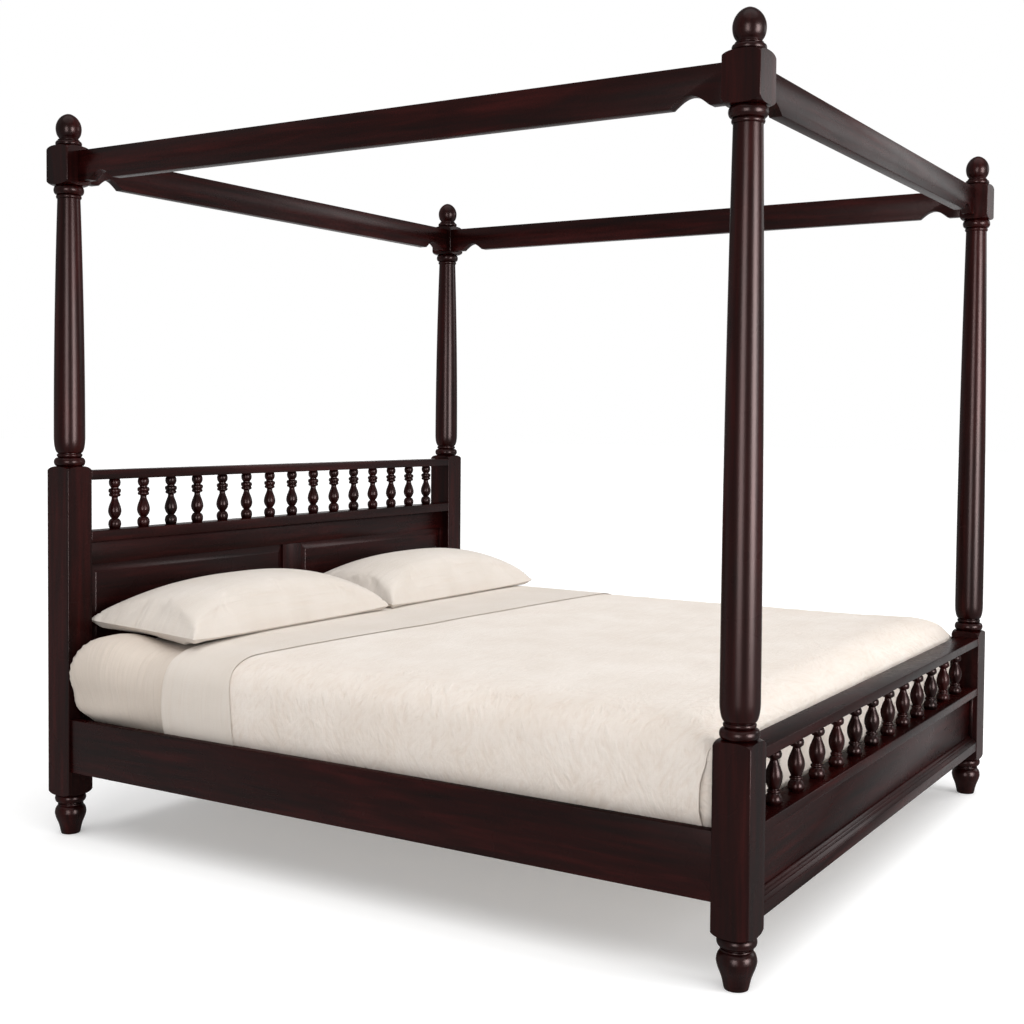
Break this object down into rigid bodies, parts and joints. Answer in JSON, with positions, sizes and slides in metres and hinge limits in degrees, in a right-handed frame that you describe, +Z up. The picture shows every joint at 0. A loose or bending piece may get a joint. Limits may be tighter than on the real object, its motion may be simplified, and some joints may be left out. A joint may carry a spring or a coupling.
{
  "type": "canopy bed",
  "caption": "King-size four-poster canopy bed in dark polished wood, with turned posts and finials, scalloped tester rails, spindle galleries and cream bedding",
  "frame": {"origin": "on the floor under the middle of the bed, at the bottom centre of its bounding box", "axes": "+X to the right of someone who lies on the bed's foot end and looks to the head, +Y to the headboard, +Z up"},
  "size_m": [2.06, 2.23, 2.136],
  "materials": {
    "dark_wood": "dark brown satin lacquer over red-brown wood",
    "plain_wood": "planed and unfinished",
    "linen": "smooth cream cotton",
    "steel": "zinc-plated steel"
  },
  "bodies": {
    "frame": {"centre_beam": "plain_wood", "centre_leg": "plain_wood", "coverlet": "linen", "finial_foot_left": "dark_wood", "finial_foot_right": "dark_wood", "finial_head_left": "dark_wood", "finial_head_right": "dark_wood", "foot_ledger": "plain_wood", "footboard_bottom_rail": "dark_wood", "footboard_cap_rail": "dark_wood", "footboard_mid_rail": "dark_wood", "footboard_panel": "dark_wood", "footboard_spindle_1": "dark_wood", "footboard_spindle_10": "dark_wood", "footboard_spindle_11": "dark_wood", "footboard_spindle_12": "dark_wood", "footboard_spindle_2": "dark_wood", "footboard_spindle_3": "dark_wood", "footboard_spindle_4": "dark_wood", "footboard_spindle_5": "dark_wood", "footboard_spindle_6": "dark_wood", "footboard_spindle_7": "dark_wood", "footboard_spindle_8": "dark_wood", "footboard_spindle_9": "dark_wood", "headboard_bottom_rail": "dark_wood", "headboard_cap_rail": "dark_wood", "headboard_gallery_rail": "dark_wood", "headboard_muntin": "dark_wood", "headboard_panel_left": "dark_wood", "headboard_panel_right": "dark_wood", "headboard_spindle_1": "dark_wood", "headboard_spindle_10": "dark_wood", "headboard_spindle_11": "dark_wood", "headboard_spindle_12": "dark_wood", "headboard_spindle_13": "dark_wood", "headboard_spindle_14": "dark_wood", "headboard_spindle_15": "dark_wood", "headboard_spindle_2": "dark_wood", "headboard_spindle_3": "dark_wood", "headboard_spindle_4": "dark_wood", "headboard_spindle_5": "dark_wood", "headboard_spindle_6": "dark_wood", "headboard_spindle_7": "dark_wood", "headboard_spindle_8": "dark_wood", "headboard_spindle_9": "dark_wood", "mattress": "linen", "pillow_left": "linen", "pillow_right": "linen", "post_foot_left": "dark_wood", "post_foot_right": "dark_wood", "post_head_left": "dark_wood", "post_head_right": "dark_wood", "side_rail_left": "dark_wood", "side_rail_right": "dark_wood", "slat_roll": "plain_wood", "tester_rail_foot": "dark_wood", "tester_rail_head": "dark_wood", "tester_rail_left": "dark_wood", "tester_rail_right": "dark_wood"},
    "levelling_glide": {"levelling_glide": "steel"}
  },
  "joints": [
    {"name": "glide_height", "type": "slide", "parent": "frame", "child": "levelling_glide", "axis": [0, 0, 1], "range_m": [-0.004, 0.012]}
  ]
}
